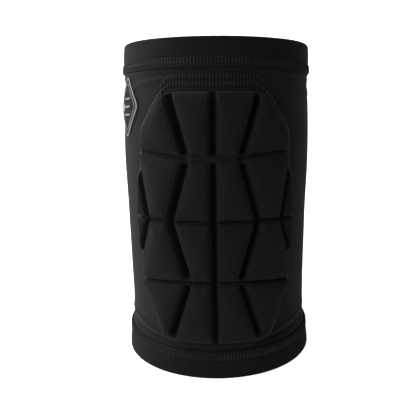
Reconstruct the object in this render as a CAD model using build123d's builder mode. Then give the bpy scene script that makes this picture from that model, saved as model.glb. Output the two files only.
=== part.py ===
"""Elbow pad: a knitted compression sleeve with a segmented foam pad over the point of the elbow.

The sleeve stands on its lower rim. Its centreline starts upright, bends back through a
gentle arc and leaves straight again, as a sleeve does that is sewn for a slightly bent arm.
A place on it is given by a station (millimetres along the centreline, from the lower rim),
an angle round the tube (0 at the middle of the pad, positive towards +X) and a skin
(millimetres outside the tube's outer face). The pad faces -Y and +Z is up.
"""
from build123d import *
import os
from math import copysign, cos, degrees, radians, sin

# ---- Sleeve ---------------------------------------------------------------------------
sleeve_length = 190.0        # along the centreline, rim to rim
straight_end = 25.0          # straight stretch of the centreline at each rim
bend_angle = 25.0            # lean of the upper rim against the lower one
lower_half_width = 54.6      # half of the width at the lower rim
waist_half_width = 52.7      # half of the width at the narrowest place
full_half_width = 56.2       # half of the width where the sleeve is fullest
upper_half_width = 54.8      # half of the width at the upper rim
waist_station = 38.0
full_station = 150.0
depth_ratio = 0.87           # front to back against side to side
section_spacing = 19.0       # between the cross-sections of a loft

fabric = 1.2                 # compression knit
layer_gap = 0.15             # air between two layers that are sewn, not fused

# ---- Cuffs ------------------------------------------------------------------------------
cuff_height = 19.0
cuff_fabric = 1.0            # each leg of the folded band
cuff_round = 0.9             # rounding of the fold
elastic_width = 10.0
elastic_thickness = 0.8
needle_rows = (12.7, 17.4)   # distances of the two stitch rows from a rim
thread_height = 0.6
thread_thickness = 0.35

# ---- Pad: stations of its rows and angles of its channels ----------------------------------
pad_bottom = 24.5
lower_crease = 60.5
middle_crease = 92.5
upper_crease = 124.5
pad_top = 158.5
side_droop = 3.0             # outer ends of the lower and upper crease run this far off level

waist_channel = 15.0         # inner channels at the lower and upper crease
middle_channel = 25.8        # inner channels at the middle crease
top_channel = 26.0           # inner channels at the pad's top edge
bottom_channel = 28.2        # inner channels at the pad's bottom edge
wing_channel = 40.5          # outer channels at the middle crease
top_corner = 30.0            # outline at the pad's top edge
shoulder_station = 138.0     # where the outline turns in above the upper crease
shoulder = 47.0              # outline there and at the upper crease
wing_edge = 52.5             # outline at the middle crease
wing_corner = 51.3           # outline where a wing's straight outer edge ends
wing_half_height = 15.0      # from the middle crease to those ends
wing_rise = 29.0             # from the middle crease up to a wing's upper tip
wing_drop = 24.0             # from the middle crease down to a wing's lower tip
wing_foot = 49.0             # outline at a wing's lower tip
hip = 50.5                   # outline at the lower crease
bottom_corner = 33.0         # outline at the pad's bottom edge

backing_thickness = 0.5
tile_thickness = 4.6
tile_gap = 4.0               # between the feet of neighbouring tiles
tile_corner = 1.5            # rounding of a tile's corners, seen from outside
cover_fabric = 0.7
cover_headroom = 1.1         # from the tiles' outer faces to the cover's inside
tile_reach = 9.0             # how far a tile's cutting prism runs each side of the skin
pad_reach = 30.0             # the same for the whole pad, which wraps much further round

# Insets of the pad's layers from the pad's outline, all along the tube's face.
backing_inset = 1.5
cover_inside_inset = 0.9
cover_outside_inset = 0.2
welt_inset = 0.0
welt_width = 2.0
welt_height = 1.3

# ---- Seams and badge ------------------------------------------------------------------------
top_seam_rows = (162.5, 166.8)
top_seam_half_angle = 31.0
rear_seam_width = 3.0
rear_seam_height = 0.5

badge_station = 152.0
badge_angle = -68.0
badge_half_height = 17.5
badge_half_width = 12.5
badge_corner = 2.0
badge_line = 1.3
badge_thickness = 0.3
badge_bar_length = 9.0
badge_bar_spacing = 4.5
badge_bar_count = 3

# ---- Sizes that follow from those above ---------------------------------------------------------
bend_radius = (sleeve_length - 2 * straight_end) / radians(bend_angle)
cuff_inside = -fabric - layer_gap - cuff_fabric
tile_skin = layer_gap + backing_thickness + layer_gap
cover_inside = tile_skin + tile_thickness + cover_headroom
cover_outside = cover_inside + cover_fabric
wing_top = middle_crease + wing_rise
wing_bottom = middle_crease - wing_drop


# ---- The tube as a surface ------------------------------------------------------------------
def section_plane(station):
    """Plane square to the centreline, with its local Y towards the sleeve's back."""
    arc = (station - straight_end) / bend_radius
    turned = min(max(arc, 0.0), radians(bend_angle))
    past_arc = max(station - (sleeve_length - straight_end), 0.0)
    y = bend_radius * (1 - cos(turned)) + past_arc * sin(turned)
    z = min(station, straight_end) + bend_radius * sin(turned) + past_arc * cos(turned)
    return Plane(origin=(0, y, z), x_dir=(1, 0, 0), z_dir=(0, sin(turned), cos(turned)))


def eased(station, low, high, value_low, value_high):
    """Value that eases from one station to another, level at both."""
    share = (station - low) / (high - low)
    return value_low + (value_high - value_low) * share**2 * (3 - 2 * share)


def half_width(station):
    """Half of the tube's width: narrow below the elbow, fullest above it, drawn in at the top."""
    if station < waist_station:
        below = (waist_station - station) / waist_station
        return waist_half_width + (lower_half_width - waist_half_width) * below**2
    if station < full_station:
        return eased(station, waist_station, full_station, waist_half_width, full_half_width)
    return eased(station, full_station, sleeve_length, full_half_width, upper_half_width)


def radii(station, skin):
    """Half width and half depth of the ellipse that lies skin outside the tube."""
    return half_width(station) + skin, depth_ratio * half_width(station) + skin


def surface_point(station, angle, skin):
    """Point on the tube grown outwards by skin."""
    wide, deep = radii(station, skin)
    place = (wide * sin(radians(angle)), -deep * cos(radians(angle)), 0)
    return section_plane(station).from_local_coords(place)


def tangent_plane(station, angle, skin):
    """Plane that touches the grown tube, with local X up the sleeve and local Z outwards."""
    plane = section_plane(station)
    wide, deep = radii(station, skin)
    outwards = (deep * sin(radians(angle)), -wide * cos(radians(angle)), 0)
    normal = plane.from_local_coords(outwards) - plane.origin
    return Plane(origin=surface_point(station, angle, skin), x_dir=plane.z_dir, z_dir=normal)


def sections(skin):
    """Elliptical cross-sections of the grown tube from rim to rim, for a loft."""
    made = []
    steps = round(sleeve_length / section_spacing)
    for step in range(steps + 1):
        station = sleeve_length * step / steps
        wide, deep = radii(station, skin)
        with BuildSketch(section_plane(station)) as section:
            Ellipse(wide, deep)
        made.append(section.sketch)
    return made


def band(low, high, inner_skin, outer_skin):
    """Closed band round the arm between two stations and two skins."""
    with BuildPart() as ring:
        loft(sections=sections(outer_skin))
        loft(sections=sections(inner_skin), mode=Mode.SUBTRACT)
        if low > 0:
            split(bisect_by=section_plane(low), keep=Keep.TOP)
        if high < sleeve_length:
            split(bisect_by=section_plane(high), keep=Keep.BOTTOM)
    return ring.part


def outline_on(plane, corners, skin, gap=0.0, rounding=0.0):
    """Polygon on a plane, with corners straight over (station, angle) places on the tube.

    It can be drawn in by a gap all round and have its corners rounded.
    """
    places = [plane.to_local_coords(surface_point(*corner, skin)) for corner in corners]
    with BuildSketch(plane) as outline:
        Polygon(*[(place.X, place.Y) for place in places], align=None)
        if rounding > 0:
            offset(amount=-gap - rounding, kind=Kind.INTERSECTION)
            offset(amount=rounding, kind=Kind.ARC)
    return outline.sketch


def patch(plane, outline, skin, reach):
    """The piece of the grown tube's face that lies under an outline on a plane."""
    with BuildPart() as core:
        loft(sections=sections(skin))
        extrude(outline, amount=reach, both=True, mode=Mode.INTERSECT)
    curved = core.faces().filter_by(GeomType.PLANE, reverse=True)
    return curved.sort_by(Axis(plane.origin, plane.z_dir))[-1]


# ---- Small helpers for outlines and files ---------------------------------------------------
def mirrored(corners):
    """The same corners on the other side of the pad's middle line."""
    return [(station, -angle) for station, angle in reversed(corners)]


def inset(corners, amount):
    """Corners drawn in towards the middle of the pad by amount, along the tube's face."""
    turn = degrees(amount / waist_half_width)
    moved = []
    for station, angle in corners:
        up = copysign(1, station - middle_crease)
        out = copysign(1, angle)
        moved.append((station - up * amount, angle - out * turn))
    return moved


def save(part, name):
    """Label a finished piece and write it to its own file."""
    part.label = name
    export_step(part, f"parts/{name}.step")


# ---- Foam tiles -------------------------------------------------------------------------------
top_row = {
    "inner": [
        (upper_crease, 0),
        (pad_top, 0),
        (pad_top, top_channel),
        (upper_crease, waist_channel),
    ],
    "outer": [
        (upper_crease, waist_channel),
        (pad_top, top_channel),
        (pad_top, top_corner),
        (shoulder_station, shoulder),
        (upper_crease + side_droop, shoulder),
    ],
}
upper_elbow_row = {
    "inner": [
        (middle_crease, 0),
        (upper_crease, 0),
        (upper_crease, waist_channel),
        (middle_crease, middle_channel),
    ],
    "outer": [
        (middle_crease, middle_channel),
        (upper_crease, waist_channel),
        (upper_crease + side_droop, shoulder),
        (middle_crease, wing_channel),
    ],
    "wing": [
        (middle_crease, wing_channel),
        (wing_top, shoulder),
        (middle_crease + wing_half_height, wing_corner),
        (middle_crease, wing_edge),
    ],
}
lower_elbow_row = {
    "inner": [
        (lower_crease, 0),
        (middle_crease, 0),
        (middle_crease, middle_channel),
        (lower_crease, waist_channel),
    ],
    "outer": [
        (lower_crease, waist_channel),
        (middle_crease, middle_channel),
        (middle_crease, wing_channel),
        (wing_bottom, wing_foot),
        (lower_crease - side_droop, hip),
    ],
    "wing": [
        (middle_crease, wing_channel),
        (middle_crease, wing_edge),
        (middle_crease - wing_half_height, wing_corner),
        (wing_bottom, wing_foot),
    ],
}
bottom_row = {
    "inner": [
        (pad_bottom, 0),
        (lower_crease, 0),
        (lower_crease, waist_channel),
        (pad_bottom, bottom_channel),
    ],
    "outer": [
        (pad_bottom, bottom_channel),
        (lower_crease, waist_channel),
        (lower_crease - side_droop, hip),
        (pad_bottom, bottom_corner),
    ],
}


def foam_tile(corners):
    """One tile: its cell less half a gap all round, thickened outwards from the tube."""
    station = sum(corner[0] for corner in corners) / len(corners)
    angle = sum(corner[1] for corner in corners) / len(corners)
    plane = tangent_plane(station, angle, tile_skin)
    footprint = outline_on(plane, corners, tile_skin, tile_gap / 2, tile_corner)
    foot = patch(plane, footprint, tile_skin, tile_reach)
    with BuildPart() as tile:
        thicken(foot, amount=tile_thickness)
    return tile.part


def save_tiles(row_name, cells):
    """The tiles of one row: each cell on the right of the pad and its twin on the left."""
    for cell_name, corners in cells.items():
        right = foam_tile(corners)
        with BuildPart() as left:
            mirror(right, about=Plane.YZ)
        save(right, f"{row_name}_{cell_name}_tile_right")
        save(left.part, f"{row_name}_{cell_name}_tile_left")


# ---- Sheets of the pad ----------------------------------------------------------------------------
right_outline = [
    (pad_bottom, bottom_channel),
    (pad_bottom, bottom_corner),
    (lower_crease - side_droop, hip),
    (wing_bottom, wing_foot),
    (middle_crease - wing_half_height, wing_corner),
    (middle_crease, wing_edge),
    (middle_crease + wing_half_height, wing_corner),
    (wing_top, shoulder),
    (shoulder_station, shoulder),
    (pad_top, top_corner),
    (pad_top, top_channel),
]
left_outline = mirrored(right_outline)
pad_outline = [(pad_bottom, 0), *right_outline, (pad_top, 0), *left_outline]
pad_plane = tangent_plane(middle_crease, 0, layer_gap)


def pad_patch(amount, skin):
    """The part of the grown tube's face under the pad, drawn in from the pad's outline."""
    outline = outline_on(pad_plane, inset(pad_outline, amount), skin)
    return patch(pad_plane, outline, skin, pad_reach)


def pad_backing():
    """Thin cloth that the foam tiles are bonded to."""
    with BuildPart() as backing:
        thicken(pad_patch(backing_inset, layer_gap), amount=backing_thickness)
    return backing.part


def pad_cover():
    """Stretch cloth over the tiles, with side walls that come down to the tube."""
    with BuildPart() as cover:
        thicken(pad_patch(cover_outside_inset, layer_gap), amount=cover_outside - layer_gap)
        thicken(pad_patch(cover_inside_inset, 0), amount=cover_inside, mode=Mode.SUBTRACT)
    return cover.part


def pad_welt():
    """Raised seam that runs round the foot of the cover."""
    with BuildPart() as welt:
        thicken(pad_patch(welt_inset - welt_width, layer_gap), amount=welt_height)
        thicken(pad_patch(welt_inset, 0), amount=2 * welt_height, mode=Mode.SUBTRACT)
    return welt.part


# ---- Sleeve, cuffs and seams --------------------------------------------------------------------
def folded_cuff(rim, free_edge, step):
    """Band folded over the tube's end; step is +1 for the upper rim and -1 for the lower."""
    inner_stop = rim - step * cuff_fabric
    low, high = sorted((rim, free_edge))
    pocket_low, pocket_high = sorted((inner_stop, free_edge))
    pocket = band(pocket_low, pocket_high, -fabric - layer_gap, layer_gap)
    with BuildPart() as cuff:
        add(band(low, high, cuff_inside, layer_gap + cuff_fabric))
        add(pocket, mode=Mode.SUBTRACT)
        rim_plane = section_plane(rim)
        rim_face = cuff.faces().sort_by(Axis(rim_plane.origin, rim_plane.z_dir * step))[-1]
        fillet(rim_face.edges(), radius=cuff_round)
    return cuff.part


def stitch_rows(rim, step):
    """Two rings of needle thread that hold a cuff down on the tube."""
    skin = layer_gap + cuff_fabric + layer_gap
    with BuildPart() as rows:
        for row in needle_rows:
            middle = rim - step * row
            low = middle - thread_height / 2
            add(band(low, low + thread_height, skin, skin + thread_thickness))
    return rows.part


def top_seam():
    """Two rows of thread across the sleeve just above the pad."""
    half = thread_height / 2
    with BuildPart() as seam:
        for row in top_seam_rows:
            plane = tangent_plane(row, 0, layer_gap)
            strip = [
                (row - half, -top_seam_half_angle),
                (row + half, -top_seam_half_angle),
                (row + half, top_seam_half_angle),
                (row - half, top_seam_half_angle),
            ]
            thicken(
                patch(plane, outline_on(plane, strip, layer_gap), layer_gap, tile_reach),
                amount=thread_thickness,
            )
    return seam.part


def rear_seam(low, high):
    """Flat seam up the back that closes the knitted cloth into a tube."""
    half_turn = degrees(rear_seam_width / 2 / waist_half_width)
    plane = tangent_plane((low + high) / 2, 180, layer_gap)
    strip = [
        (low, 180 - half_turn),
        (low, 180 + half_turn),
        (high, 180 + half_turn),
        (high, 180 - half_turn),
    ]
    with BuildPart() as seam:
        thicken(
            patch(plane, outline_on(plane, strip, layer_gap), layer_gap, pad_reach),
            amount=rear_seam_height,
        )
    return seam.part


def side_badge():
    """Raised print on the upper side: a rounded lozenge round a ladder of plain bars."""
    plane = tangent_plane(badge_station, badge_angle, layer_gap)
    lozenge = [
        (-badge_half_height, 0),
        (0, badge_half_width),
        (badge_half_height, 0),
        (0, -badge_half_width),
    ]
    with BuildSketch(plane) as frame_line:
        with BuildLine():
            Polyline(lozenge, close=True)
        make_face()
        fillet(frame_line.vertices(), radius=badge_corner)
        offset(amount=-badge_line, mode=Mode.SUBTRACT)
    with BuildSketch(plane) as bars:
        with GridLocations(badge_bar_spacing, 0, badge_bar_count, 1):
            SlotOverall(badge_bar_length, badge_line, rotation=90)
    with BuildPart() as badge:
        for shape in frame_line.sketch.faces() + bars.sketch.faces():
            thicken(patch(plane, Sketch([shape]), layer_gap, tile_reach), amount=badge_thickness)
    return badge.part


# ---- Everything, written out ---------------------------------------------------------------------
os.makedirs("parts", exist_ok=True)

elastic_low = cuff_fabric + layer_gap
elastic_high = elastic_low + elastic_width
tube_end = elastic_high + layer_gap
elastic_outside = -(fabric - elastic_thickness) / 2
elastic_inside = elastic_outside - elastic_thickness

save(band(tube_end, sleeve_length - tube_end, -fabric, 0), "sleeve_tube")
save(folded_cuff(0, cuff_height, -1), "lower_cuff")
save(folded_cuff(sleeve_length, sleeve_length - cuff_height, 1), "upper_cuff")
save(band(elastic_low, elastic_high, elastic_inside, elastic_outside), "lower_cuff_elastic")
save(
    band(
        sleeve_length - elastic_high,
        sleeve_length - elastic_low,
        elastic_inside,
        elastic_outside,
    ),
    "upper_cuff_elastic",
)
save(stitch_rows(0, -1), "lower_cuff_stitching")
save(stitch_rows(sleeve_length, 1), "upper_cuff_stitching")
save(rear_seam(cuff_height + 1, sleeve_length - cuff_height - 1), "rear_seam")
save(pad_backing(), "pad_backing")
save(pad_cover(), "pad_cover")
save(pad_welt(), "pad_welt")
save(top_seam(), "pad_top_stitching")
save(side_badge(), "side_badge")
save_tiles("top_row", top_row)
save_tiles("upper_elbow", upper_elbow_row)
save_tiles("lower_elbow", lower_elbow_row)
save_tiles("bottom_row", bottom_row)
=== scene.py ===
"""Looks of the elbow pad: knitted sleeve, quilted pad cover, cuffs, seams, stitches and print.

The tube's surface is the one the CAD model uses. A place on it is a station (mm along the
centreline from the lower rim), an angle round the tube (radians, 0 at the pad's middle) and
a skin (mm outside the tube's outer face). Blender's units are metres.
"""
import math

import bpy
import numpy as np
from mathutils import Matrix, Vector


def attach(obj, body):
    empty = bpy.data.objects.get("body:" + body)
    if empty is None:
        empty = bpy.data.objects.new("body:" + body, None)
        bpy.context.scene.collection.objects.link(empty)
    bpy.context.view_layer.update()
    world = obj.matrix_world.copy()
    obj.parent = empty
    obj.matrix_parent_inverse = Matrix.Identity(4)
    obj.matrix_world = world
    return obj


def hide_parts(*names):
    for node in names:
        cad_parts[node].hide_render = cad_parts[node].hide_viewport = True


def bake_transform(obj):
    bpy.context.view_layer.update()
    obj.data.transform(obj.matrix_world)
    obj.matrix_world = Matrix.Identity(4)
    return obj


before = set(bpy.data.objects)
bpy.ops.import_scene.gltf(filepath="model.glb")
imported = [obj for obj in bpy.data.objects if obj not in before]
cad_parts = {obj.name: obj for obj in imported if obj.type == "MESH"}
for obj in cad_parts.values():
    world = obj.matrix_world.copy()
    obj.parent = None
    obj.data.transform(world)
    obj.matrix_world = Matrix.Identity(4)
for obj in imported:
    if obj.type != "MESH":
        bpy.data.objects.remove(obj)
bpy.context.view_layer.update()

MM = 0.001

# ---- Driving sizes of the sleeve (mm) --------------------------------------------------------
LENGTH = 190.0
STRAIGHT_END = 25.0
BEND = math.radians(25.0)
LOWER_HALF_WIDTH = 54.6
WAIST_HALF_WIDTH = 52.7
FULL_HALF_WIDTH = 56.2
UPPER_HALF_WIDTH = 54.8
WAIST_STATION = 38.0
FULL_STATION = 150.0
DEPTH_RATIO = 0.87  # front to back over side to side
BEND_RADIUS = (LENGTH - 2 * STRAIGHT_END) / BEND
FABRIC = 1.2
CUFF_HEIGHT = 19.0
NEEDLE_ROWS = (12.7, 17.4)  # from each rim
TUBE_END = 12.5  # the tube starts this far inside each cuff

# ---- Pad layout ------------------------------------------------------------------------------
PAD_BOTTOM = 24.5
LOWER_CREASE = 60.5
MIDDLE_CREASE = 92.5
UPPER_CREASE = 124.5
PAD_TOP = 158.5
# the right-hand outline: (station, angle in degrees)
OUTLINE = (
    (PAD_BOTTOM, 33.0), (57.5, 50.5), (68.5, 49.0), (77.5, 51.3), (MIDDLE_CREASE, 52.5),
    (107.5, 51.3), (121.5, 47.0), (138.0, 47.0), (PAD_TOP, 30.0),
)
CORNER_RADIUS = 5.0
CORNER_SPREAD = (-3.0, -1.5, 0.0, 1.5, 3.0)  # mm along the sleeve that the outline is averaged over
LOWER_SPLIT = (LOWER_CREASE + MIDDLE_CREASE) / 2
UPPER_SPLIT = (MIDDLE_CREASE + UPPER_CREASE) / 2
BLEND_HALF = 15.2  # cloth turns over this much either side of a crease

CREASES = (LOWER_CREASE, MIDDLE_CREASE, UPPER_CREASE)


# ---- The tube's surface ----------------------------------------------------------------------
def deg(value):
    """Degrees to radians."""
    return math.radians(value)


def smooth(x):
    """0 to 1 with no corner at either end."""
    x = np.clip(x, 0, 1)
    return x * x * (3 - 2 * x)


def hill(x, middle, width):
    """A round hill of height 1 over middle, e times lower at width from it."""
    return np.exp(-(((x - middle) / width) ** 2))


def centreline(s):
    """Depth, height and lean of the centreline at station s."""
    turned = np.clip((s - STRAIGHT_END) / BEND_RADIUS, 0, BEND)
    past = np.maximum(s - (LENGTH - STRAIGHT_END), 0)
    y = BEND_RADIUS * (1 - np.cos(turned)) + past * np.sin(turned)
    z = np.minimum(s, STRAIGHT_END) + BEND_RADIUS * np.sin(turned) + past * np.cos(turned)
    return y, z, turned


def half_width(s):
    """Half the tube's width at a station: a waist near the lower cuff, fullest above the elbow."""
    below = np.clip((WAIST_STATION - s) / WAIST_STATION, 0, 1)
    flare = (LOWER_HALF_WIDTH - WAIST_HALF_WIDTH) * below**2
    above = smooth((s - WAIST_STATION) / (FULL_STATION - WAIST_STATION))
    top = smooth((s - FULL_STATION) / (LENGTH - FULL_STATION))
    swell = (FULL_HALF_WIDTH - WAIST_HALF_WIDTH) * above
    return WAIST_HALF_WIDTH + flare + swell - (FULL_HALF_WIDTH - UPPER_HALF_WIDTH) * top


def place(s, t, skin):
    """Points in metres for arrays of station, angle and skin."""
    s, t, skin = np.broadcast_arrays(np.asarray(s, float), np.asarray(t, float), np.asarray(skin, float))
    y, z, lean = centreline(s)
    width = half_width(s)
    # skin is measured square to the ellipse
    nx = DEPTH_RATIO * np.sin(t)
    ny = np.cos(t)
    size = np.hypot(nx, ny)
    across = width * np.sin(t) + skin * nx / size
    front = DEPTH_RATIO * width * np.cos(t) + skin * ny / size
    return np.stack([across, y - front * np.cos(lean), z + front * np.sin(lean)], -1) * MM


def outward(s, t):
    """Unit normals of the tube."""
    normal = place(s, t, 1.0) - place(s, t, 0.0)
    return normal / np.linalg.norm(normal, axis=-1, keepdims=True)


MEAN_RADIUS = WAIST_HALF_WIDTH * (1 + DEPTH_RATIO) / 2
PAD_SWELL = 1.04  # the pad's part of the tube is this much wider than the waist
FRONT_STRETCH = 1 + DEPTH_RATIO * WAIST_HALF_WIDTH / BEND_RADIUS


def flat(s, t):
    """Unrolled position on the pad side, in mm."""
    return np.asarray(t) * MEAN_RADIUS * PAD_SWELL, (np.asarray(s) - MIDDLE_CREASE) * FRONT_STRETCH


# ---- Mesh helpers ----------------------------------------------------------------------------
FAR = 1e9


def make_object(name, points, faces, uv=None, hollow=None):
    """A smooth mesh object, with a knit UV map and a hollow value per point if they are given."""
    mesh = bpy.data.meshes.new(name)
    mesh.from_pydata([tuple(p) for p in points], [], [tuple(int(i) for i in f) for f in faces])
    mesh.polygons.foreach_set("use_smooth", [True] * len(mesh.polygons))
    if uv is not None:
        layer = mesh.uv_layers.new(name="knit")
        index = np.zeros(len(mesh.loops), int)
        mesh.loops.foreach_get("vertex_index", index)
        layer.data.foreach_set("uv", uv[index].astype(np.float32).ravel())
    if hollow is not None:
        layer = mesh.attributes.new("hollow", "FLOAT", "POINT")
        layer.data.foreach_set("value", hollow.astype(np.float32).ravel())
    mesh.update()
    obj = bpy.data.objects.new(name, mesh)
    bpy.context.scene.collection.objects.link(obj)
    return obj


def grid_faces(rows, columns, wrap_columns=False, wrap_rows=False):
    """Quads of a grid whose points run row by row."""
    r = np.arange(rows if wrap_rows else rows - 1)
    c = np.arange(columns if wrap_columns else columns - 1)
    R, C = np.meshgrid(r, c, indexing="ij")
    R2 = (R + 1) % rows
    C2 = (C + 1) % columns
    quads = [R * columns + C, R * columns + C2, R2 * columns + C2, R2 * columns + C]
    return np.stack(quads, -1).reshape(-1, 4)


def set_material(obj, material):
    """Gives a piece its only material."""
    obj.data.materials.clear()
    obj.data.materials.append(material)


def bend_over(obj, crease):
    """Bakes a piece's transform into its points; the piece is not bent over its crease."""
    start = place(crease - BLEND_HALF, 0, -DEPTH_RATIO * half_width(crease))
    end = place(crease + BLEND_HALF, 0, -DEPTH_RATIO * half_width(crease))
    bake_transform(obj)


def in_three(name, points, faces, stations, material, uv=None, hollow=None):
    """Split a piece that crosses all three creases at mid-row into one part per crease."""
    middle = stations[faces].mean(axis=1)
    limits = (-FAR, LOWER_SPLIT, UPPER_SPLIT, FAR)
    made = []
    for part, crease in enumerate(CREASES):
        chosen = faces[(middle >= limits[part]) & (middle < limits[part + 1])]
        if not len(chosen):
            continue
        used, packed = np.unique(chosen, return_inverse=True)
        part_uv = None if uv is None else uv[used]
        part_hollow = None if hollow is None else hollow[used]
        word = ("lower", "middle", "upper")[part]
        corners = packed.reshape(chosen.shape)
        obj = make_object(f"{name}_{word}", points[used], corners, part_uv, part_hollow)
        set_material(obj, material)
        bend_over(obj, crease)
        made.append(obj)
    return made


# ---- Materials -------------------------------------------------------------------------------
DARK, LIGHT, MIXED = 6, 7, 2  # the colour sockets of a mix node


class Nodes:
    """Short way to build a node tree."""

    def __init__(self, name):
        self.material = bpy.data.materials.new(name)
        self.material.use_nodes = True
        self.tree = self.material.node_tree
        self.shader = self.tree.nodes["Principled BSDF"]

    def add(self, kind, inputs=None, **settings):
        """A new node, its settings set and each input set or linked."""
        node = self.tree.nodes.new(kind)
        for key, value in settings.items():
            setattr(node, key, value)
        for key, value in (inputs or {}).items():
            if hasattr(value, "is_output"):
                self.tree.links.new(value, node.inputs[key])
            else:
                node.inputs[key].default_value = value
        return node

    def math(self, operation, a, b=0.0):
        """The result of a sum; a and b are numbers or other nodes' outputs."""
        return self.add("ShaderNodeMath", {0: a, 1: b}, operation=operation).outputs[0]

    def noise(self, scale, detail):
        """Noise that is fixed to the object."""
        place_in_object = self.add("ShaderNodeTexCoord").outputs["Object"]
        inputs = {"Vector": place_in_object, "Scale": scale, "Detail": detail}
        return self.add("ShaderNodeTexNoise", inputs).outputs["Fac"]

    def between(self, dark, light, tone):
        """A colour between two greys, dark at tone 0 and light at 1."""
        inputs = {"Factor": tone, DARK: (*grey(dark), 1), LIGHT: (*grey(light), 1)}
        return self.add("ShaderNodeMix", inputs, data_type="RGBA").outputs[MIXED]

    def feed(self, key, value):
        """Sets or links an input of the shader."""
        if hasattr(value, "is_output"):
            self.tree.links.new(value, self.shader.inputs[key])
        else:
            self.shader.inputs[key].default_value = value


def grey(value):
    """A faintly blue grey, as black dyed cloth is."""
    return (value, value, value * 1.04)


def knit_material(name, dark, light, wale, course, bump, sheen, spec):
    """Fine jersey knit: columns of V stitches, faint mottling and a soft sheen."""
    n = Nodes(name)
    uv = n.add("ShaderNodeUVMap", uv_map="knit").outputs["UV"]
    xy = n.add("ShaderNodeSeparateXYZ", {0: uv})
    u = n.math("MULTIPLY", xy.outputs["X"], 2 * math.pi / wale)
    v = n.math("MULTIPLY", xy.outputs["Y"], 2 * math.pi / course)
    columns = n.math("SINE", u)
    lean = n.math("MULTIPLY", n.math("ABSOLUTE", columns), 2.2)
    rows = n.math("SINE", n.math("ADD", v, lean))
    ribs = n.math("MULTIPLY", n.math("ABSOLUTE", columns), 0.6)
    loops = n.math("ADD", ribs, n.math("MULTIPLY", rows, 0.4))
    grain = n.noise(1400.0, 2.0)
    cloud = n.noise(55.0, 3.0)
    height = n.math("ADD", loops, n.math("MULTIPLY", grain, 0.8))
    tone = n.math("ADD", n.math("MULTIPLY", cloud, 0.7), n.math("MULTIPLY", loops, 0.3))
    mixed = n.between(dark, light, tone)
    # painted shade: the channels' base colour, specular and sheen are lowered by their depth; the
    # attribute is 0 everywhere else
    painted_groove_shade = n.add("ShaderNodeAttribute", attribute_name="hollow").outputs["Fac"]
    shade = n.math("SUBTRACT", 1.0, n.math("MULTIPLY", painted_groove_shade, 0.45))
    colour = n.add("ShaderNodeVectorMath", {0: mixed, 1: shade}, operation="MULTIPLY")
    n.feed("Base Color", colour.outputs[0])
    n.feed("Roughness", 0.8)
    n.feed("Specular IOR Level", n.math("MULTIPLY", shade, spec))
    n.feed("Sheen Weight", n.math("MULTIPLY", shade, sheen))
    n.feed("Sheen Roughness", 0.45)
    bumped = n.add("ShaderNodeBump", {"Height": height, "Strength": bump, "Distance": 0.00022})
    n.feed("Normal", bumped.outputs["Normal"])
    return n.material


def plain_material(name, dark, light, rough, spec, scale, bump, distance, sheen=0.0, patch=300.0):
    """Mottled matt stuff such as foam, elastic, thread and print."""
    n = Nodes(name)
    noise = n.noise(scale, 4.0)
    patches = n.noise(patch, 2.0)
    # noise stays near a half, so it is spread to use the whole range between the two tones
    wide = n.add("ShaderNodeMapRange", {0: patches, 1: 0.36, 2: 0.64, 3: 0.0, 4: 0.8}).outputs[0]
    tone = n.math("ADD", wide, n.math("MULTIPLY", noise, 0.2))
    n.feed("Base Color", n.between(dark, light, tone))
    n.feed("Roughness", rough)
    n.feed("Specular IOR Level", spec)
    n.feed("Sheen Weight", sheen)
    bumped = n.add("ShaderNodeBump", {"Height": noise, "Strength": bump, "Distance": distance})
    n.feed("Normal", bumped.outputs["Normal"])
    return n.material


# wale and course are the mm from one knit column and row to the next
sleeve_knit = knit_material(
    "sleeve_knit", 0.0035, 0.0065, wale=0.9, course=0.7, bump=0.5, sheen=0.05, spec=0.09
)
cuff_knit = knit_material(
    "cuff_knit", 0.003, 0.0055, wale=1.3, course=0.8, bump=0.6, sheen=0.03, spec=0.08
)
cover_knit = knit_material(
    "cover_knit", 0.0035, 0.006, wale=0.8, course=0.65, bump=0.5, sheen=0.03, spec=0.09
)
backing_cloth = knit_material(
    "backing_cloth", 0.012, 0.02, wale=1.2, course=1.0, bump=0.5, sheen=0.05, spec=0.12
)
pad_foam = plain_material(
    "pad_foam", 0.02, 0.035, rough=0.95, spec=0.1, scale=900.0, bump=0.4, distance=0.0002
)
elastic = plain_material(
    "cuff_elastic", 0.012, 0.02, rough=0.7, spec=0.2, scale=700.0, bump=0.4, distance=0.0002
)
thread = plain_material(
    "thread", 0.0035, 0.014, rough=0.6, spec=0.13, scale=2500.0, bump=0.5, distance=0.00008,
    sheen=0.08, patch=40.0,
)
edge_thread = plain_material(
    "edge_thread", 0.008, 0.034, rough=0.6, spec=0.2, scale=2500.0, bump=0.5, distance=0.00008,
    sheen=0.1, patch=70.0,
)
badge_print = plain_material(
    "badge_print", 0.12, 0.17, rough=0.6, spec=0.2, scale=1500.0, bump=0.3, distance=0.00005
)


# ---- Relief of the pad cover -----------------------------------------------------------------
def both_sides(lines):
    """The same polylines on both sides of the middle line."""
    return [[(s, side * a) for s, a in line] for line in lines for side in (1, -1)]


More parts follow.
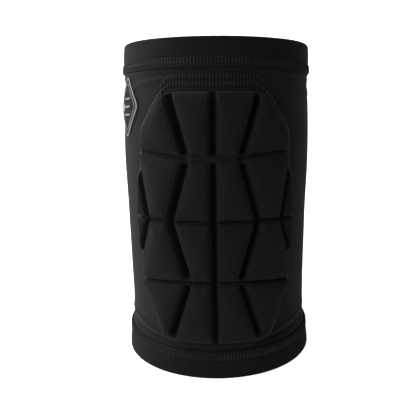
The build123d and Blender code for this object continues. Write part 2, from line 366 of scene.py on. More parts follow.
# Each line is a run of (station, angle in degrees). The middle channel stops short of the upper
# crease, and the others lean in to the creases at INNER and out to the middle one at OUTER.
INNER = 16.2
OUTER = 25.8
CHANNELS = [
    [(UPPER_CREASE + 3.3, 0), (PAD_TOP - 1, 0)],
    [(PAD_BOTTOM + 1, 0), (UPPER_CREASE - 3.3, 0)],
] + both_sides([
    [(UPPER_CREASE + 3.5, INNER), (PAD_TOP - 3, 25.2)],
    [(UPPER_CREASE - 3.5, INNER), (MIDDLE_CREASE, OUTER), (LOWER_CREASE + 3.5, INNER)],
    [(LOWER_CREASE - 3.5, 16.3), (PAD_BOTTOM + 6, 26.2)],
])
WING_CHANNELS = both_sides([
    [(UPPER_CREASE - 3, 46.6), (MIDDLE_CREASE, 40.8), (LOWER_CREASE + 9, 49.3)],
])
DEEP_CREASES = both_sides([
    [(MIDDLE_CREASE, 0), (MIDDLE_CREASE, 52.5)],
    [(LOWER_CREASE, 0), (LOWER_CREASE - 0.2, 18), (LOWER_CREASE - 3, 51.0)],
])
SIDE_CREASES = both_sides([
    [(UPPER_CREASE + 0.1, 15), (UPPER_CREASE + 2.1, 26), (UPPER_CREASE + 3.1, 36),
     (UPPER_CREASE + 3.1, 47.5)],
])
FAINT_CREASES = both_sides([
    [(UPPER_CREASE + 1.5, 0), (UPPER_CREASE + 1.3, 15)],
    [(UPPER_CREASE - 1.3, 0), (UPPER_CREASE - 1.3, 15)],
])


def distance_to(lines, x, y):
    """Distance in mm from unrolled points to the nearest of some (station, degrees) lines."""
    nearest = np.full(x.shape, FAR)
    for line in lines:
        ends = [flat(s, deg(a)) for s, a in line]
        for (ax, ay), (bx, by) in zip(ends, ends[1:]):
            dx, dy = bx - ax, by - ay
            share = np.clip(((x - ax) * dx + (y - ay) * dy) / (dx * dx + dy * dy), 0, 1)
            nearest = np.minimum(nearest, np.hypot(x - ax - share * dx, y - ay - share * dy))
    return nearest


def half_angle(s):
    """The pad's half angle at a station, with its corners softened."""
    stations = [station for station, _ in OUTLINE]
    angles = [deg(angle) for _, angle in OUTLINE]
    width = sum(np.interp(s + d, stations, angles) for d in CORNER_SPREAD) / len(CORNER_SPREAD)
    inside = np.clip(np.minimum(s - PAD_BOTTOM, PAD_TOP - s), 0, CORNER_RADIUS)
    cut = CORNER_RADIUS - np.sqrt(np.maximum(CORNER_RADIUS**2 - (CORNER_RADIUS - inside) ** 2, 0))
    return width - cut / MEAN_RADIUS


# All in mm. Heights are above the tube's outer face, and depths are below the tiles' tops.
PLATEAU = 6.9
CROWN = 1.2
CROWN_REACH = 4.8  # this far from a channel or crease, a crown has most of its height
COVER_FOOT = 0.35
CHANNEL_DEPTH = 5.4
CHANNEL_FLOOR, CHANNEL_BANK = 0.4, 2.4  # half the flat floor's width, and a sloping side's width
WING_CHANNEL_DEPTH = 3.4
WING_FLOOR, WING_BANK = 0.2, 1.7
CREASE_DEPTH = 3.3
CREASE_REACH, CREASE_SHARPNESS = 2.1, 1.3
SIDE_CREASE_DEPTH = 2.9
SIDE_CREASE_REACH, SIDE_CREASE_SHARPNESS = 2.2, 1.2
FAINT_DEPTH = 0.8
FAINT_REACH = 1.4
FAINT_CROWN = 2.0  # a faint crease lowers the crown only as much as another line this much further off
SIDE_WALL = 2.8
END_SLOPE = 0.5
SHOULDER_BEAD = 0.3
SHOULDER_AT = 4.6  # from the channel's middle line
SHOULDER_WIDTH = 0.8

# the cloth that is blown up over the foam, on a coarser grid than the cover's own mesh
COVER_GRID = (230, 190)
CLOTH_GRID = (101, 85)
CLOTH_MASS = 0.001
CLOTH_STIFFNESS = 1.0
CLOTH_PRESSURE = 45.0
CLOTH_FRAMES = 12
CLOTH_CAP = 1.2


def groove(distance, floor_half, slope):
    """1 on a flat-bottomed groove's floor and 0 outside its sloping sides."""
    return 1 - smooth((distance - floor_half) / slope)


def sharp_fold(distance, reach, sharpness):
    """1 at the bottom of a sharp fold and 0 from reach outwards."""
    return np.clip(1 - distance / reach, 0, 1) ** sharpness


def cover_height(s, t, edge):
    """Skin of the cover's outside; edge is the distance in mm to the pad's outline."""
    x, y = flat(s, t)
    channel = distance_to(CHANNELS, x, y)
    wing = distance_to(WING_CHANNELS, x, y)
    crease = distance_to(DEEP_CREASES, x, y)
    side = distance_to(SIDE_CREASES, x, y)
    faint = distance_to(FAINT_CREASES, x, y)
    lowered = [
        CHANNEL_DEPTH * groove(channel, CHANNEL_FLOOR, CHANNEL_BANK),
        WING_CHANNEL_DEPTH * groove(wing, WING_FLOOR, WING_BANK),
        CREASE_DEPTH * sharp_fold(crease, CREASE_REACH, CREASE_SHARPNESS),
        SIDE_CREASE_DEPTH * sharp_fold(side, SIDE_CREASE_REACH, SIDE_CREASE_SHARPNESS),
        FAINT_DEPTH * groove(faint, 0, FAINT_REACH),
    ]
    lines = [channel, wing, crease, side, faint + FAINT_CROWN, edge]
    nearest = np.minimum.reduce(lines)
    crown = CROWN * (1 - np.exp(-((nearest / CROWN_REACH) ** 2)))
    bead = hill(channel, SHOULDER_AT, SHOULDER_WIDTH)
    shoulder = SHOULDER_BEAD * bead * smooth(edge / 5 - 0.6)
    top = PLATEAU + crown + shoulder - np.maximum.reduce(lowered)
    rise = np.clip(edge / SIDE_WALL, 0, 1)
    wall = np.sqrt(1 - (1 - rise) ** 2)
    # depth below the tiles as a share of a channel's; the knit material darkens the cloth by it as
    # painted shade
    hollow = np.maximum.reduce(lowered) / CHANNEL_DEPTH
    return COVER_FOOT + (top - COVER_FOOT) * wall, hollow


def knit_uv(s, t):
    """Unrolled texture place in mm."""
    s, t = np.broadcast_arrays(s, t)
    return np.stack([t * MEAN_RADIUS, s], -1).reshape(-1, 2)


def pad_grid(rows, columns):
    """Stations, angles and edge distances of a grid that fills the pad's outline."""
    s = np.linspace(PAD_BOTTOM, PAD_TOP, rows)
    # closer together towards the edges, where the side walls are
    share = np.linspace(-1, 1, columns)
    share = share * (1.18 - 0.18 * share**2)
    S, U = np.meshgrid(s, share, indexing="ij")
    T = U * half_angle(S)
    side = (1 - np.abs(U)) * half_angle(S) * MEAN_RADIUS
    ends = np.minimum(S - PAD_BOTTOM, PAD_TOP - S) * FRONT_STRETCH
    return S, T, np.minimum(side, ends * END_SLOPE)


def ripple(s, t, seed):
    """Slow, shallow unevenness of soft cloth, in mm, that joins up round the tube."""
    count = 9
    rng = np.random.default_rng(seed)
    total = np.zeros(np.broadcast(s, t).shape)
    for _ in range(count):
        waves = rng.integers(1, 9)
        length = rng.uniform(28, 90)
        phase = rng.uniform(0, 2 * math.pi, 2)
        total = total + np.sin(waves * t + phase[0]) * np.sin(2 * math.pi * s / length + phase[1])
    return total / count


def cover_shape(rows, columns):
    """Stations, angles, points and hollows of a grid over the cover, and where cloth is held."""
    S, T, edge = pad_grid(rows, columns)
    skin, hollow = cover_height(S, T, edge)
    skin = skin + 0.25 * ripple(S, T, 3) * np.clip(edge / 6, 0, 1)
    held = (hollow > 0.25) | (edge < 2.0)
    return S, T, place(S, T, skin), hollow, held


def swelling(rows, columns):
    """How far cloth bellies out under pressure between the lines where it is pressed down."""
    S, T, points, _, held = cover_shape(rows, columns)
    start = points.reshape(-1, 3)
    obj = make_object("cover_cloth", start, grid_faces(rows, columns))
    group = obj.vertex_groups.new(name="held")
    group.add([int(i) for i in np.nonzero(held.ravel())[0]], 1.0, "REPLACE")
    cloth = obj.modifiers.new("cloth", "CLOTH")
    cloth.settings.quality = 5
    cloth.settings.mass = CLOTH_MASS
    cloth.settings.tension_stiffness = CLOTH_STIFFNESS
    cloth.settings.compression_stiffness = CLOTH_STIFFNESS
    cloth.settings.shear_stiffness = CLOTH_STIFFNESS / 2
    cloth.settings.bending_stiffness = 0.05
    cloth.settings.use_pressure = True
    cloth.settings.uniform_pressure_force = CLOTH_PRESSURE
    cloth.settings.vertex_group_mass = "held"
    cloth.settings.effector_weights.gravity = 0
    cloth.point_cache.frame_start = 1
    cloth.point_cache.frame_end = CLOTH_FRAMES
    for number in range(1, CLOTH_FRAMES + 1):
        bpy.context.scene.frame_set(number)
    swollen = obj.evaluated_get(bpy.context.evaluated_depsgraph_get())
    moved = np.empty(len(start) * 3, np.float32)
    swollen.data.vertices.foreach_get("co", moved)
    bpy.context.scene.frame_set(1)
    bpy.data.objects.remove(obj)
    move = moved.reshape(-1, 3) - start
    size = np.linalg.norm(move, axis=1, keepdims=True)
    move = move * np.minimum(1.0, CLOTH_CAP * MM / np.maximum(size, 1e-9))
    # the foam underneath stops the cloth from sinking
    normal = outward(S, T).reshape(-1, 3)
    sink = np.minimum((move * normal).sum(axis=1, keepdims=True), 0)
    move = move - sink * normal
    return move.reshape(rows, columns, 3)


def finer(values, rows, columns):
    """A grid of values interpolated to more rows and columns."""
    old_rows, old_columns = values.shape[:2]
    r = np.linspace(0, old_rows - 1, rows)
    c = np.linspace(0, old_columns - 1, columns)
    r0 = np.minimum(r.astype(int), old_rows - 2)
    c0 = np.minimum(c.astype(int), old_columns - 2)
    fr = (r - r0)[:, None, None]
    fc = (c - c0)[None, :, None]
    top = values[r0][:, c0] * (1 - fc) + values[r0][:, c0 + 1] * fc
    bottom = values[r0 + 1][:, c0] * (1 - fc) + values[r0 + 1][:, c0 + 1] * fc
    return top * (1 - fr) + bottom * fr


def build_cover():
    """The cover's skin: shaped relief, plus the swelling of the cloth between its channels."""
    rows, columns = COVER_GRID
    S, T, points, hollow, _ = cover_shape(rows, columns)
    points = points + finer(swelling(*CLOTH_GRID), rows, columns)
    points = points.reshape(-1, 3)
    made = in_three("pad_cover_skin", points, grid_faces(rows, columns), S.ravel(), cover_knit,
                    knit_uv(S, T), hollow.ravel())
    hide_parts("pad_cover")


def build_backing():
    """Closed sheet of cloth under the foam, a little narrower than the cover."""
    rows, columns = 90, 60
    outer_skin, inner_skin = 0.6, 0.15
    narrowing = 0.96
    S, T, _ = pad_grid(rows, columns)
    T = T * narrowing
    outer = place(S, T, outer_skin).reshape(-1, 3)
    inner = place(S, T, inner_skin).reshape(-1, 3)
    faces = grid_faces(rows, columns)
    count = rows * columns
    rim = np.concatenate([
        np.arange(columns), np.arange(2 * columns - 1, count, columns),
        np.arange(count - 2, count - columns - 1, -1), np.arange(count - 2 * columns, 0, -columns),
    ])
    after = np.roll(rim, -1)
    wall = np.stack([rim, after, after + count, rim + count], -1)
    faces = np.concatenate([faces, faces[:, ::-1] + count, wall[:, ::-1]])
    stations = np.concatenate([S.ravel(), S.ravel()])
    uv = np.concatenate([knit_uv(S, T), knit_uv(S, T)])
    made = in_three("pad_backing_cloth", np.concatenate([outer, inner]), faces, stations,
                    backing_cloth, uv)
    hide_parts("pad_backing")


TUBE_GRID = (150, 260)
PLEAT_HEIGHT = 0.72
SIDE_SHIFT = 0.9  # the pleats at +X start this much further from the cuff


def pleats(s, t):
    """Small folds that fan out from the pad's ends round the sides, close to each cuff."""
    total = np.zeros(s.shape)
    angle = np.abs(t)
    for cuff_edge, inward in ((CUFF_HEIGHT, 1), (LENGTH - CUFF_HEIGHT, -1)):
        away = inward * (s - cuff_edge)
        reach = smooth((angle - deg(14)) / deg(24)) * smooth((deg(104) - angle) / deg(40))
        spread = 2.2 + 2.4 * smooth((angle - deg(20)) / deg(60))
        side = np.where(t > 0, SIDE_SHIFT, 0.0)
        wave = np.cos(2 * math.pi * (away - 0.6 - side) / (2 * spread))
        window = smooth((away + 0.5) / 1.5) * (1 - smooth((away - 2.2 * spread) / spread))
        total += PLEAT_HEIGHT * wave * window * reach
    return total


def build_tube():
    """Both faces of the sleeve's knit, closed at its two rims."""
    rows, columns = TUBE_GRID
    s = np.linspace(TUBE_END, LENGTH - TUBE_END, rows)
    t = np.linspace(-math.pi, math.pi, columns, endpoint=False)
    S, T = np.meshgrid(s, t, indexing="ij")
    near_cuff = np.minimum(s - CUFF_HEIGHT, LENGTH - CUFF_HEIGHT - s)
    free = smooth(near_cuff / 12)[:, None]
    uneven = 0.5 * ripple(S, T, 11) * free + pleats(S, T)
    outer = place(S, T, uneven).reshape(-1, 3)
    inner = place(S, T, uneven - FABRIC).reshape(-1, 3)
    faces = grid_faces(rows, columns, wrap_columns=True)
    count = rows * columns
    ring = np.arange(columns)
    after = np.roll(ring, -1)
    top = (rows - 1) * columns
    low_rim = np.stack([ring + count, after + count, after, ring], -1)
    high_rim = np.stack([ring + top, after + top, after + top + count, ring + top + count], -1)
    faces = np.concatenate([faces, faces[:, ::-1] + count, low_rim, high_rim])
    stations = np.concatenate([S.ravel(), S.ravel()])
    uv = np.concatenate([knit_uv(S, T), knit_uv(S, T)])
    made = in_three("sleeve_knit_tube", np.concatenate([outer, inner]), faces, stations,
                    sleeve_knit, uv)
    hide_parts("sleeve_tube")


# ---- Cuffs -----------------------------------------------------------------------------------
CUFF_COLUMNS = 520
NEEDLE_DENT = 0.55  # depth that a needle row pulls the band in
PUCKERS = 86  # small gathers round a cuff


def cuff_profile():
    """Closed outline of the folded band: (distance from the rim, skin) in mm."""
    outer, outer_low = 1.3, 0.12  # the two faces of the leg outside the tube
    inner, inner_low = -2.4, -1.32  # and of the leg inside it
    fold = (outer - inner) / 2
    middle = (outer + inner) / 2
    face_end = CUFF_HEIGHT - 0.4
    lip = CUFF_HEIGHT - 0.2
    pocket_foot, pocket_end = 1.3, CUFF_HEIGHT - 2
    points = [(d, outer) for d in np.linspace(face_end, fold, 44)]
    for turn in np.linspace(0, math.pi, 13)[1:-1]:
        points.append((fold - fold * math.sin(turn), middle + fold * math.cos(turn)))
    points += [(d, inner) for d in np.linspace(fold, face_end, 30)]
    points += [(CUFF_HEIGHT, inner + 0.5), (lip, inner_low)]
    points += [(d, inner_low) for d in np.linspace(pocket_end, pocket_foot, 8)]
    points += [(d, outer_low) for d in np.linspace(pocket_foot, pocket_end, 8)]
    points += [(lip, outer_low), (CUFF_HEIGHT, outer - 0.5)]
    return np.array(points)


def build_cuff(name, rim, step, body, cad_node, seed):
    """A folded band. step is -1 at the lower rim and 1 at the upper one, and seed sets its unevenness."""
    profile = cuff_profile()
    columns = CUFF_COLUMNS
    t = np.linspace(-math.pi, math.pi, columns, endpoint=False)
    D, T = np.meshgrid(profile[:, 0], t, indexing="ij")
    SK = np.repeat(profile[:, 1:2], columns, axis=1)
    outside = (SK > 0.6) & (D > 1.0)
    dent = np.zeros_like(D)
    for row in NEEDLE_ROWS:
        dent += NEEDLE_DENT * hill(D, row, 0.7)
    # fuller between the needle rows and over the elastic, and pressed down at the sewn edge
    swell = 0.35 * hill(D, 15.0, 1.3)
    swell += 0.25 * np.sin(np.clip(D / 12.0, 0, 1) * math.pi)
    swell -= 0.65 * smooth((D - 16.6) / 2.4)
    pucker = hill(D, 15.5, 4.0) * 0.10 * np.sin(T * PUCKERS + 1.5 * np.sin(T * 7))
    SK = SK + np.where(outside, swell - dent + pucker + 0.35 * ripple(D, T, seed), 0)
    wave = 0.35 * np.sin(3 * T + seed) + 0.25 * np.sin(7 * T + 2 * seed)
    edge_wave = wave * smooth((D - 12) / 9)
    station = rim - step * (D + edge_wave * 0.8)
    points = place(station, T, SK).reshape(-1, 3)
    faces = grid_faces(len(profile), columns, wrap_columns=True, wrap_rows=True)
    if step < 0:
        faces = faces[:, ::-1]
    obj = make_object(name, points, faces, knit_uv(station, T))
    set_material(obj, cuff_knit)
    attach(obj, body)
    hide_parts(cad_node)


# ---- Stitches --------------------------------------------------------------------------------
STITCH = 1.85  # pitch of every needle row
ONE_EACH = 9.0  # a pitch longer than any rung, so that a rung is a single stitch
NEEDLE = {"length": 1.5, "width": 0.5, "high": 0.45}  # a needle row's stitch
EDGE_MARGIN = 3.4  # from the pad's outline to the stitches beside its welt
WHIP_MARGINS = (1.6, 3.6)  # the same for the inner and outer end of a whip stitch
TOP_SEAM_ROWS = ((162.5, 4.5), (166.8, 5.2))  # (station, how far its ends droop)
TOP_SEAM_BEND = 26.0  # degrees at which the seams above the pad start to droop
TOP_SEAM_DROOP = 10.0  # degrees that the droop takes


def stitch_shape():
    """Unit stitch, 1 long on X, 1 wide on Y, 1 high on Z: a plump grain."""
    along = np.array([-0.5, -0.42, -0.2, 0.2, 0.42, 0.5])
    girth = np.array([0.12, 0.66, 1.0, 1.0, 0.66, 0.12])
    around = np.linspace(0, 2 * math.pi, 8, endpoint=False)
    points = [
        (x, 0.5 * g * math.cos(a), 0.5 * g * math.sin(a)) for x, g in zip(along, girth) for a in around
    ]
    faces = [tuple(f) for f in grid_faces(len(along), len(around), wrap_columns=True)]
    return np.array(points), faces


def stitches(paths, skin, pitch, length, width, high):
    """Points, quads, stations of stitches laid end to end along paths of (station, angle)."""
    look = 0.3  # mm before and after a stitch, for its direction
    shape, quads = stitch_shape()
    points, faces, stations = [], [], []
    for path in paths:
        path = np.array(path, float)
        track = place(path[:, 0], path[:, 1], skin)
        steps = np.r_[0, np.cumsum(np.linalg.norm(np.diff(track, axis=0), axis=1))] / MM
        count = max(1, int(steps[-1] / pitch))
        for i in range(count):
            at = (i + 0.5) * steps[-1] / count
            s, a = np.interp(at, steps, path[:, 0]), np.interp(at, steps, path[:, 1])
            s2, a2 = np.interp(at + look, steps, path[:, 0]), np.interp(at + look, steps, path[:, 1])
            s1, a1 = np.interp(at - look, steps, path[:, 0]), np.interp(at - look, steps, path[:, 1])
            ahead = place(s2, a2, skin) - place(s1, a1, skin)
            ahead /= np.linalg.norm(ahead)
            up = outward(s, a)
            across = np.cross(up, ahead)
            centre = place(s, a, skin)
            local = shape * np.array([length, width, high]) * MM
            base = len(points) * len(shape)
            points.append(centre + local[:, :1] * ahead + local[:, 1:2] * across + local[:, 2:] * up)
            faces += [tuple(base + k for k in q) for q in quads]
            stations.append(np.full(len(shape), s))
    return np.concatenate(points), np.array(faces), np.concatenate(stations)


def joined(*sets):
    """Several sets of stitches as one: points, quads and stations."""
    starts = np.cumsum([0] + [len(points) for points, _, _ in sets])
    points = np.concatenate([points for points, _, _ in sets])
    faces = np.concatenate([faces + start for (_, faces, _), start in zip(sets, starts)])
    stations = np.concatenate([stations for _, _, stations in sets])
    return points, faces, stations


def ladder(rows, angles, drops, pitch):
    """Short rungs of looper thread between two stitch rows: one path per rung.

    drops gives how far each of the angles lies below the rows' own stations.
    """
    low, high = rows
    spans = np.hypot(*np.diff(np.stack(flat(np.full(angles.shape, low), angles), -1), axis=0).T)
    along = np.r_[0, np.cumsum(spans)]
    at = np.interp(np.arange(pitch / 2, along[-1], pitch), along, angles)
    lean = 0.25 / MEAN_RADIUS
    return [
        [(low - np.interp(a, angles, drops), a - lean), (high - np.interp(a, angles, drops), a + lean)]
        for a in at
    ]


def ring_path(station):
    """All the way round the tube at one station."""
    return [(station, a) for a in np.linspace(-math.pi, math.pi, 360)]


def build_cuff_stitches(name, rim, step, body, cad_node):
    """Two needle rows round a cuff, with the looper thread's rungs between them."""
    rows = [rim - step * row for row in NEEDLE_ROWS]
    needles = stitches([ring_path(row) for row in rows], 1.32, STITCH, **NEEDLE)
    angles = np.linspace(-math.pi, math.pi, 361)
    rungs = ladder(rows, angles, np.zeros(angles.shape), STITCH)
    loopers = stitches(rungs, 1.5, ONE_EACH, length=4.5, width=0.72, high=0.6)
    points, faces, _ = joined(needles, loopers)
    obj = make_object(name, points, faces)
    set_material(obj, thread)
    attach(obj, body)
    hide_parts(cad_node)


def outline_path(margin):
    """Closed path round the pad, margin mm outside its outline."""
    side_steps, end_steps = 220, 70
    s = PAD_BOTTOM + (PAD_TOP - PAD_BOTTOM) * (1 - np.cos(np.linspace(0, math.pi, side_steps))) / 2
    right = np.stack([s, half_angle(s)], -1)
    across = np.linspace(1, -1, end_steps)[1:-1]
    top = np.stack([np.full(across.shape, PAD_TOP), across * half_angle(PAD_TOP)], -1)
    bottom = np.stack([np.full(across.shape, PAD_BOTTOM), -across * half_angle(PAD_BOTTOM)], -1)
    loop = np.concatenate([right, top, right[::-1] * (1, -1), bottom])
    x, y = flat(loop[:, 0], loop[:, 1])
    ends = np.stack([x, y], -1)
    ahead = np.roll(ends, -1, 0) - np.roll(ends, 1, 0)
    normal = np.stack([ahead[:, 1], -ahead[:, 0]], -1)
    normal /= np.linalg.norm(normal, axis=1, keepdims=True) + 1e-9
    ends = ends + normal * margin
    station = ends[:, 1] / FRONT_STRETCH + MIDDLE_CREASE
    angle = ends[:, 0] / (MEAN_RADIUS * PAD_SWELL)
    return np.stack([station, angle], -1)


def whip_paths(inside, outside):
    """Short paths across the welt, one for each STITCH of its length, down both sides of the pad."""
    x, y = flat(outside[:, 0], outside[:, 1])
    along = np.r_[0, np.cumsum(np.hypot(np.diff(x), np.diff(y)))]
    rungs = []
    for a in np.arange(0, along[-1], STITCH):
        inner = [np.interp(a, along, inside[:, k]) for k in (0, 1)]
        outer = [np.interp(a, along, outside[:, k]) for k in (0, 1)]
        if PAD_BOTTOM + 1.0 < inner[0] < PAD_TOP - 1.0:
            rungs.append([inner, outer])
    return rungs


def build_welt():
    """Rounded ridge that follows the pad's outline."""
    # the ridge's section: mm outside the pad's outline, and mm above the tube
    margins = np.array([-0.6, 0.0, 0.5, 1.0, 1.5, 2.0, 2.3])
    heights = np.array([0.1, 0.9, 1.35, 1.45, 1.25, 0.75, -0.05])
    rings = [outline_path(m) for m in margins]
    columns = len(rings[0])
    middle = rings[0][:, 0]
    near_end = np.minimum(middle - PAD_BOTTOM, PAD_TOP - middle)
    # the ridge sinks to about a third of its height at the pad's ends
    lower = 0.3 + 0.7 * smooth((near_end - 1.0) / 5.0)
    points = np.concatenate([place(r[:, 0], r[:, 1], h * lower) for r, h in zip(rings, heights)])
    stations = np.concatenate([r[:, 0] for r in rings])
    uv = np.concatenate([knit_uv(r[:, 0], r[:, 1]) for r in rings])
    faces = grid_faces(len(margins), columns, wrap_columns=True)[:, ::-1]
    made = in_three("pad_welt_ridge", points, faces, stations, cover_knit, uv)
    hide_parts("pad_welt")


def build_edge_stitches():
    """A running stitch beside the welt and whip stitches across it, down both sides of the pad."""
    loop = outline_path(EDGE_MARGIN)
    between = (loop[:, 0] > PAD_BOTTOM) & (loop[:, 0] < PAD_TOP - 1)
    sides = [loop[between & (loop[:, 1] > 0)], loop[between & (loop[:, 1] < 0)]]
    running = stitches(sides, 0.3, STITCH, length=1.4, width=0.8, high=0.8)
    whips = whip_paths(*[outline_path(margin) for margin in WHIP_MARGINS])
    whipped = stitches(whips, 1.05, ONE_EACH, length=2.4, width=0.8, high=0.6)
    points, faces, stations = joined(running, whipped)
    in_three("pad_edge_stitches", points, faces, stations, edge_thread)


def droop(angles):
    """0 above the pad's flat top, rising to 1 beside its corners."""
    return smooth((np.abs(angles) - deg(TOP_SEAM_BEND)) / deg(TOP_SEAM_DROOP))


def build_top_seam():
    """Two needle rows across the sleeve above the pad, each with rungs across it."""
    angles = np.linspace(deg(-36), deg(36), 120)
    paths = [np.stack([row - drop * droop(angles), angles], -1) for row, drop in TOP_SEAM_ROWS]
    sets = [stitches(paths, 0.2, STITCH, **NEEDLE)]
    angles = np.linspace(deg(-34), deg(34), 120)
    for row, drop in TOP_SEAM_ROWS:
        rungs = ladder((row - 1.9, row + 1.9), angles, drop * droop(angles), STITCH)
        sets.append(stitches(rungs, 0.3, ONE_EACH, length=3.8, width=0.75, high=0.6))
    points, faces, _ = joined(*sets)
    obj = make_object("pad_top_stitches", points, faces)
    set_material(obj, thread)
    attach(obj, "upper_arm_section")
    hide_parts("pad_top_stitching")


def build_bottom_seam():
    """Rungs of thread under the pad, on its edge towards the lower cuff."""
    angles = np.linspace(deg(-31), deg(31), 120)
    rises = -2.4 * smooth((np.abs(angles) - deg(22)) / deg(9))
    rungs = ladder((PAD_BOTTOM - 4.4, PAD_BOTTOM - 1.0), angles, rises, STITCH)
    points, faces, _ = stitches(rungs, 0.75, ONE_EACH, length=3.2, width=0.72, high=0.6)
    obj = make_object("pad_bottom_stitches", points, faces)
    set_material(obj, thread)
    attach(obj, "forearm_section")


def build_rear_seam():
    """Flat closing seam: a low band with a zigzag of thread across it."""
    s = np.linspace(CUFF_HEIGHT - 1, LENGTH - CUFF_HEIGHT + 1, 120)
    # the band's section: mm from its middle line, and mm above the tube
    offsets = np.array([-1.9, -1.4, -0.5, 0.0, 0.5, 1.4, 1.9])
    heights = np.array([-0.1, 0.5, 0.6, 0.42, 0.6, 0.5, -0.1])
    S, aside = np.meshgrid(s, offsets, indexing="ij")
    T = math.pi + aside / MEAN_RADIUS
    points = place(S, T, np.broadcast_to(heights, S.shape)).reshape(-1, 3)
    faces = grid_faces(len(s), len(offsets))
    made = in_three("rear_seam_band", points, faces, S.ravel(), sleeve_knit, knit_uv(S, T))
    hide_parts("rear_seam")
    rise, reach = 0.9, 1.1 / MEAN_RADIUS
    steps = np.arange(CUFF_HEIGHT, LENGTH - CUFF_HEIGHT, rise)
    zigzag = [
        [(a, math.pi + side * reach), (a + rise, math.pi - side * reach)]
        for a, side in zip(steps, np.tile([1, -1], len(steps)))
    ]
    points, faces, stations = stitches(zigzag, 0.68, 2.0, length=2.2, width=0.4, high=0.35)
    in_three("rear_seam_thread", points, faces, stations, thread)


# ---- Badge -----------------------------------------------------------------------------------
BADGE_STATION = 152.0
BADGE_ANGLE = deg(-68)
BADGE_HALF_LENGTH = 17.5
BADGE_HALF_WIDTH = 12.5
BADGE_SKINS = (0.5, 0.85, 0.85, 0.5)  # foot and top of a printed line, on each of its sides
BADGE_SWELL = 1.02  # the tube is this much wider at the badge than the mean
INNER_SHARE = 0.8  # the inner lozenge over the outer one
BAR_SPACING = 4.5
BAR_HALF = 4.0


def printed_line(path, width, closed):
    """Points and quads of a raised line along a path in mm on the badge's own flat plane."""
    path = np.array(path, float)
    ahead = (np.roll(path, -1, 0) - np.roll(path, 1, 0)) if closed else np.gradient(path, axis=0)
    ahead /= np.linalg.norm(ahead, axis=1, keepdims=True)
    side = np.stack([-ahead[:, 1], ahead[:, 0]], -1) * width / 2
    edges = [path - side, path - side, path + side, path + side]
    stretch = MEAN_RADIUS * BADGE_SWELL
    points = [
        place(BADGE_STATION + edge[:, 0], BADGE_ANGLE + edge[:, 1] / stretch, skin)
        for edge, skin in zip(edges, BADGE_SKINS)
    ]
    quads = grid_faces(len(path), 4, wrap_columns=True, wrap_rows=closed)
    along, across = quads // 4, quads % 4
    return np.concatenate(points), across * len(path) + along


def rounded(corners, radius):
    """A closed polygon with round corners, as closely spaced points."""
    steps, spacing = 7, 0.7
    out = []
    corners = np.array(corners, float)
    for before, corner, after in zip(np.roll(corners, 1, 0), corners, np.roll(corners, -1, 0)):
        a = corner + radius * (before - corner) / np.linalg.norm(before - corner)
        b = corner + radius * (after - corner) / np.linalg.norm(after - corner)
        for k in np.linspace(0, 1, steps):
            out.append((1 - k) ** 2 * a + 2 * k * (1 - k) * corner + k * k * b)
    dense = []
    for p, q in zip(out, out[1:] + out[:1]):
        pieces = max(1, int(np.linalg.norm(q - p) / spacing))
        dense += [p + (q - p) * k / pieces for k in range(pieces)]
    return dense


def build_badge():
    """Raised print: a lozenge outline round three plain bars, laid on the knit."""
    ends = ((-1, 0), (0, 1), (1, 0), (0, -1))
    lozenge = [(BADGE_HALF_LENGTH * up, BADGE_HALF_WIDTH * across) for up, across in ends]
    inner_lozenge = [(up * INNER_SHARE, across * INNER_SHARE) for up, across in lozenge]
    lines = [
        printed_line(rounded(lozenge, 3.0), 1.1, True),
        printed_line(rounded(inner_lozenge, 2.5), 0.5, True),
    ]
    for up in (-BAR_SPACING, 0.0, BAR_SPACING):
        bar = [(up, across) for across in np.linspace(-BAR_HALF, BAR_HALF, 14)]
        lines.append(printed_line(bar, 1.3, False))
    starts = np.cumsum([0] + [len(points) for points, _ in lines])
    faces = np.concatenate([quads + start for (_, quads), start in zip(lines, starts)])
    obj = make_object("side_badge_print", np.concatenate([points for points, _ in lines]), faces)
    set_material(obj, badge_print)
    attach(obj, "upper_arm_section")
    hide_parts("side_badge")


# ---- CAD pieces that stay inside: foam and elastic -------------------------------------------
def finish_cad_nodes():
    """Foam on the tiles and elastic on the bands. The other CAD nodes are replaced."""
    for name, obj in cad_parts.items():
        chosen = pad_foam if "_tile_" in name else elastic if "elastic" in name else None
        if chosen:
            for slot in obj.material_slots:
                slot.material = chosen


# ---- Stage, light and camera -----------------------------------------------------------------
FLOOR_HALF = 6.0
FLOOR_DROP = 0.0004
LEFT_STRENGTH = 0.85
RIGHT_STRENGTH = 0.13
SLEEVE_MIDDLE = (0, 0, 0.1)
CAMERA_DISTANCE = 0.9
CAMERA_AZIMUTH = deg(2.0)
CAMERA_ELEVATION = deg(23.8)
CAMERA_ROLL = deg(1.05)
CAMERA_FIELD = 0.2467  # metres across the view at the target
CAMERA_SHIFT = -0.042
SENSOR_WIDTH = 36.0


def build_stage():
    """A plain white floor."""
    mesh = bpy.data.meshes.new("floor")
    corners = [(x * FLOOR_HALF, y * FLOOR_HALF, 0) for x, y in ((-1, -1), (1, -1), (1, 1), (-1, 1))]
    mesh.from_pydata(corners, [], [(0, 1, 2, 3)])
    floor = bpy.data.objects.new("floor", mesh)
    floor.location.z = -FLOOR_DROP
    bpy.context.scene.collection.objects.link(floor)
    n = Nodes("floor")
    n.feed("Base Color", (0.9, 0.9, 0.9, 1))
    n.feed("Roughness", 0.9)
    n.feed("Emission Color", (1, 1, 1, 1))
    # looks white, yet throws little light up at the sleeve
    seen = n.add("ShaderNodeLightPath").outputs["Is Camera Ray"]
    n.feed("Emission Strength", n.math("ADD", n.math("MULTIPLY", seen, 0.9), 0.1))
    floor.data.materials.append(n.material)


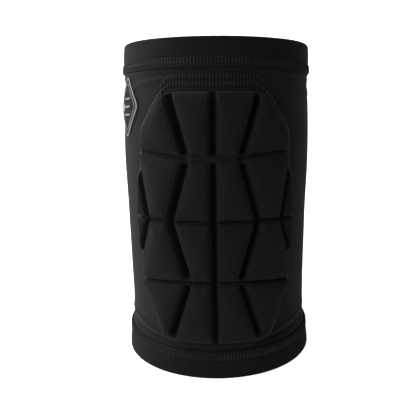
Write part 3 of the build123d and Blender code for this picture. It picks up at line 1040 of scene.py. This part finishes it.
def build_world():
    """White behind the object, and a light that fades from one side to the other."""
    world = bpy.data.worlds.new("studio")
    bpy.context.scene.world = world
    world.use_nodes = True
    tree = world.node_tree
    tree.nodes.clear()
    path = tree.nodes.new("ShaderNodeLightPath")
    seen = tree.nodes.new("ShaderNodeBackground")
    seen.inputs["Strength"].default_value = 1.0
    seen.inputs["Color"].default_value = (1, 1, 1, 1)
    lighting = tree.nodes.new("ShaderNodeBackground")
    # brighter from the left of the pad, darker from the right
    coordinates = tree.nodes.new("ShaderNodeTexCoord")
    split = tree.nodes.new("ShaderNodeSeparateXYZ")
    fade = tree.nodes.new("ShaderNodeMapRange")
    fade.inputs["From Min"].default_value = -1.0
    fade.inputs["From Max"].default_value = 1.0
    fade.inputs["To Min"].default_value = LEFT_STRENGTH
    fade.inputs["To Max"].default_value = RIGHT_STRENGTH
    tree.links.new(coordinates.outputs["Generated"], split.inputs[0])
    tree.links.new(split.outputs["X"], fade.inputs["Value"])
    tree.links.new(fade.outputs[0], lighting.inputs["Strength"])
    mix = tree.nodes.new("ShaderNodeMixShader")
    out = tree.nodes.new("ShaderNodeOutputWorld")
    tree.links.new(path.outputs["Is Camera Ray"], mix.inputs[0])
    tree.links.new(lighting.outputs[0], mix.inputs[1])
    tree.links.new(seen.outputs[0], mix.inputs[2])
    tree.links.new(mix.outputs[0], out.inputs[0])


def aim(obj, target):
    """Turns a light so that it faces a point."""
    direction = Vector(target) - obj.location
    obj.rotation_euler = direction.to_track_quat("-Z", "Y").to_euler()


def area_light(name, location, size, power):
    """A square soft light, aimed at the sleeve."""
    light = bpy.data.lights.new(name, "AREA")
    light.size = size
    light.energy = power
    obj = bpy.data.objects.new(name, light)
    obj.location = location
    bpy.context.scene.collection.objects.link(obj)
    aim(obj, SLEEVE_MIDDLE)


def build_camera():
    """Looks at the centreline's middle from the pad side, a little above."""
    y, z, _ = centreline(np.array(LENGTH / 2))
    target = Vector((0, float(y) * MM, float(z) * MM))
    level = math.cos(CAMERA_ELEVATION)
    back = Vector((
        math.sin(CAMERA_AZIMUTH) * level,
        -math.cos(CAMERA_AZIMUTH) * level,
        math.sin(CAMERA_ELEVATION),
    ))
    level_right = Vector((math.cos(CAMERA_AZIMUTH), math.sin(CAMERA_AZIMUTH), 0))
    level_up = back.cross(level_right)
    right = level_right * math.cos(CAMERA_ROLL) - level_up * math.sin(CAMERA_ROLL)
    up = level_up * math.cos(CAMERA_ROLL) + level_right * math.sin(CAMERA_ROLL)
    data = bpy.data.cameras.new("camera")
    data.sensor_width = SENSOR_WIDTH
    data.lens = SENSOR_WIDTH * CAMERA_DISTANCE / CAMERA_FIELD
    data.shift_x = CAMERA_SHIFT
    camera = bpy.data.objects.new("camera", data)
    rotation = Matrix((right, up, back)).transposed().to_4x4()
    camera.matrix_world = Matrix.Translation(target + back * CAMERA_DISTANCE) @ rotation
    bpy.context.scene.collection.objects.link(camera)
    bpy.context.scene.camera = camera


build_tube()
build_cover()
build_backing()
build_welt()
build_edge_stitches()
build_top_seam()
build_bottom_seam()
build_rear_seam()
build_cuff("lower_cuff_band", 0.0, -1, "forearm_section", "lower_cuff", 1)
build_cuff("upper_cuff_band", LENGTH, 1, "upper_arm_section", "upper_cuff", 2)
build_cuff_stitches("lower_cuff_stitches", 0.0, -1, "forearm_section", "lower_cuff_stitching")
build_cuff_stitches("upper_cuff_stitches", LENGTH, 1, "upper_arm_section", "upper_cuff_stitching")
build_badge()
finish_cad_nodes()
build_stage()
build_world()
area_light("key", (-0.9, -0.9, 0.9), size=0.8, power=14.5)
area_light("rim", (-0.9, 0.35, 0.4), size=0.6, power=11)
build_camera()
bpy.context.scene.view_settings.view_transform = "Standard"
